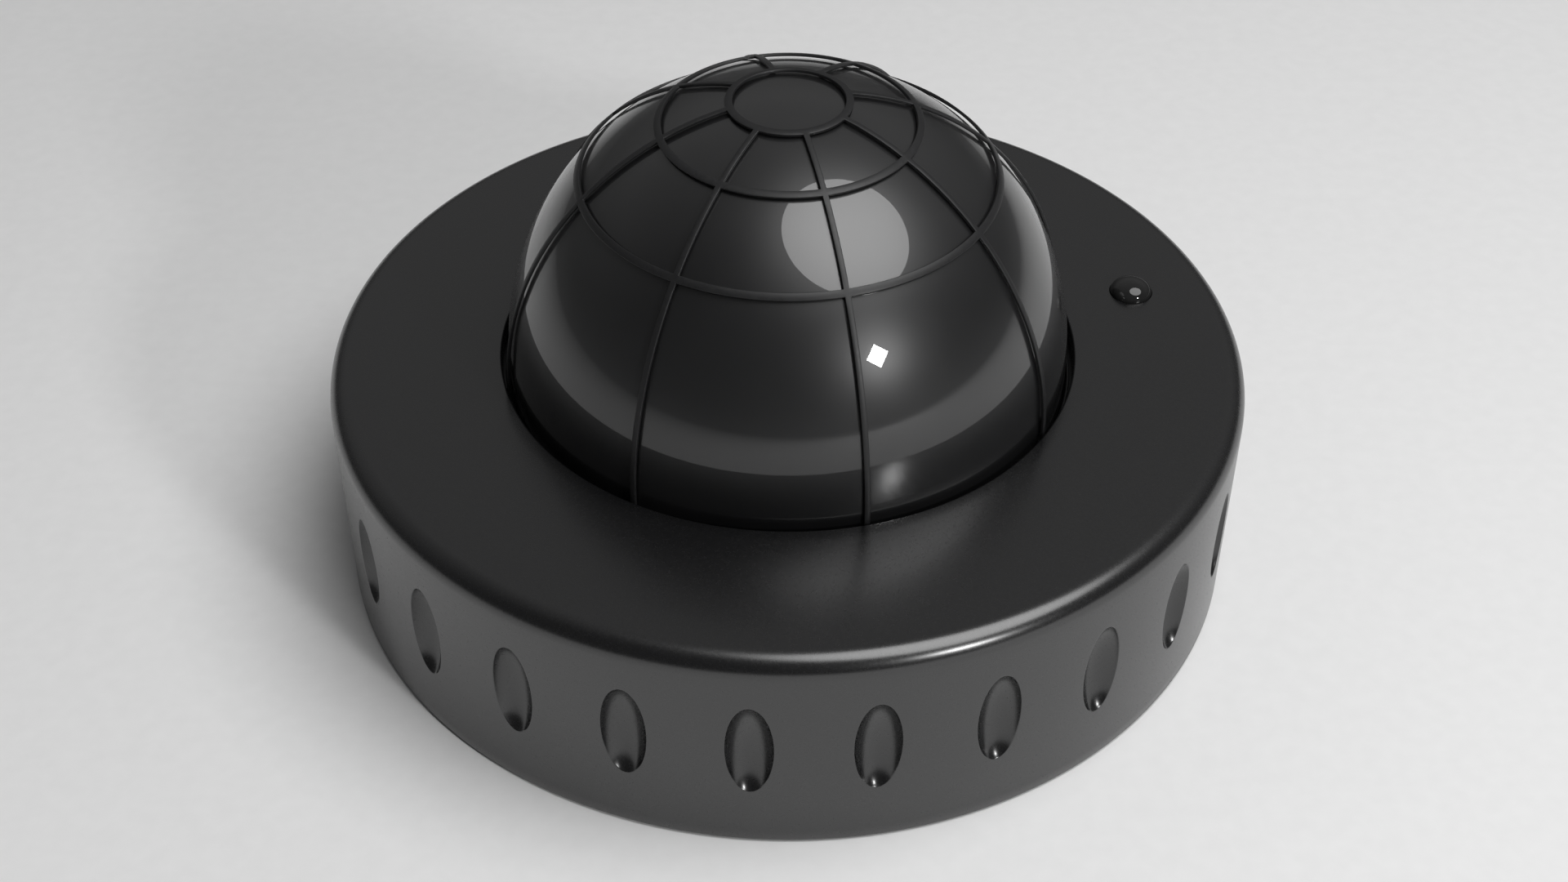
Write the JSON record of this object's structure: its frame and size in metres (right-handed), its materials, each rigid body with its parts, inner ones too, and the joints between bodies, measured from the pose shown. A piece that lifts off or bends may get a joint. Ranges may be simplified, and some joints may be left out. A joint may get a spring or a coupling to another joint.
{
  "type": "dome security camera",
  "caption": "Low round dome camera: dimpled black twist-off cover, smoked dome behind a flat-bar guard, status lens, and a pan, tilt and rotate lens unit inside.",
  "frame": {"origin": "centre of the mounting plate's underside, where the camera meets the ceiling or table", "axes": "+Z along the dome's axis towards its top, -Y towards the front, +X to the right, where the status lens is"},
  "size_m": [0.1499, 0.15, 0.0836],
  "materials": {
    "satin_black_plastic": "satin black moulded plastic",
    "matte_black_metal": "matte black painted metal",
    "smoked_dome": "smoked glossy polycarbonate",
    "status_lens": "smoked glossy lens",
    "black_rubber": "black rubber",
    "cast_metal": "die-cast, bead-blasted",
    "steel": "zinc-plated steel",
    "brass": "turned brass",
    "circuit_board": "green circuit board",
    "dark_plastic": "dark moulded plastic",
    "pale_plastic": "pale moulded plastic",
    "lens_glass": "coated lens glass",
    "sensor_chip": "sensor chip under glass"
  },
  "bodies": {
    "mount_unit": {"base_plate": "cast_metal", "cover_seal": "black_rubber", "cable_grommet": "black_rubber", "main_board": "circuit_board", "board_post_1": "brass", "board_post_2": "brass", "board_post_3": "brass", "board_post_4": "brass", "board_screw_1": "steel", "board_screw_2": "steel", "board_screw_3": "steel", "board_screw_4": "steel", "network_jack": "dark_plastic", "power_inlet": "dark_plastic", "card_slot": "steel", "reset_switch": "dark_plastic", "tamper_switch": "dark_plastic", "pan_base": "cast_metal", "pan_bearing": "pale_plastic"},
    "cover_unit": {"cover": "satin_black_plastic", "dome": "smoked_dome", "guard_cage": "matte_black_metal", "cage_gasket": "black_rubber", "dome_gasket": "black_rubber", "dome_clamp_ring": "cast_metal", "dome_clamp_screw_1": "steel", "dome_clamp_screw_2": "steel", "dome_clamp_screw_3": "steel", "dome_clamp_screw_4": "steel", "led_lens": "status_lens", "led_board": "circuit_board", "status_led": "pale_plastic", "led_board_screw": "steel"},
    "pan_unit": {"pan_turntable": "dark_plastic", "yoke_left": "dark_plastic", "yoke_screw_left": "steel", "yoke_right": "dark_plastic", "yoke_screw_right": "steel"},
    "tilt_unit": {"tilt_cradle": "dark_plastic", "tilt_pivot_left": "steel", "tilt_pivot_right": "steel"},
    "lens_unit": {"camera_body": "dark_plastic", "roll_ring": "pale_plastic", "rear_cap": "dark_plastic", "sensor_board": "circuit_board", "image_sensor": "sensor_chip", "lens_mount": "brass", "lens_barrel": "matte_black_metal", "front_glass": "lens_glass", "lens_hood": "black_rubber"},
    "zoom_unit": {"zoom_ring": "matte_black_metal", "zoom_ring_lock": "steel"},
    "focus_unit": {"focus_ring": "matte_black_metal", "focus_ring_lock": "steel"},
    "card_unit": {"memory_card": "dark_plastic"},
    "reset_unit": {"reset_button": "pale_plastic"},
    "tamper_unit": {"tamper_plunger": "pale_plastic"}
  },
  "joints": [
    {"name": "cover_twist", "type": "hinge", "parent": "mount_unit", "child": "cover_unit", "pos_m": [0, 0, 0], "axis": [0, 0, 1], "range_deg": [0, 15]},
    {"name": "pan", "type": "hinge", "parent": "mount_unit", "child": "pan_unit", "pos_m": [0, 0, 0.0158], "axis": [0, 0, 1], "range_deg": [-175, 175]},
    {"name": "tilt", "type": "hinge", "parent": "pan_unit", "child": "tilt_unit", "pos_m": [0, 0, 0.0378], "axis": [1, 0, 0], "range_deg": [0, 75]},
    {"name": "lens_turn", "type": "hinge", "parent": "tilt_unit", "child": "lens_unit", "pos_m": [0, 0, 0.0378], "axis": [0, 0, 1], "range_deg": [-90, 90]},
    {"name": "zoom", "type": "hinge", "parent": "lens_unit", "child": "zoom_unit", "pos_m": [0, 0, 0.0502], "axis": [0, 0, 1], "range_deg": [-30, 30]},
    {"name": "focus", "type": "hinge", "parent": "lens_unit", "child": "focus_unit", "pos_m": [0, 0, 0.0554], "axis": [0, 0, 1], "range_deg": [-40, 40]},
    {"name": "card_slide", "type": "slide", "parent": "mount_unit", "child": "card_unit", "axis": [-1, 0, 0], "range_m": [0, 0.008]},
    {"name": "reset_press", "type": "slide", "parent": "mount_unit", "child": "reset_unit", "axis": [0, 0, -1], "range_m": [0, 0.0008], "stiffness_N_per_m": 400, "springref_m": -0.001},
    {"name": "tamper_press", "type": "slide", "parent": "mount_unit", "child": "tamper_unit", "axis": [0, 0, -1], "range_m": [0, 0.0015], "stiffness_N_per_m": 200, "springref_m": -0.001}
  ]
}
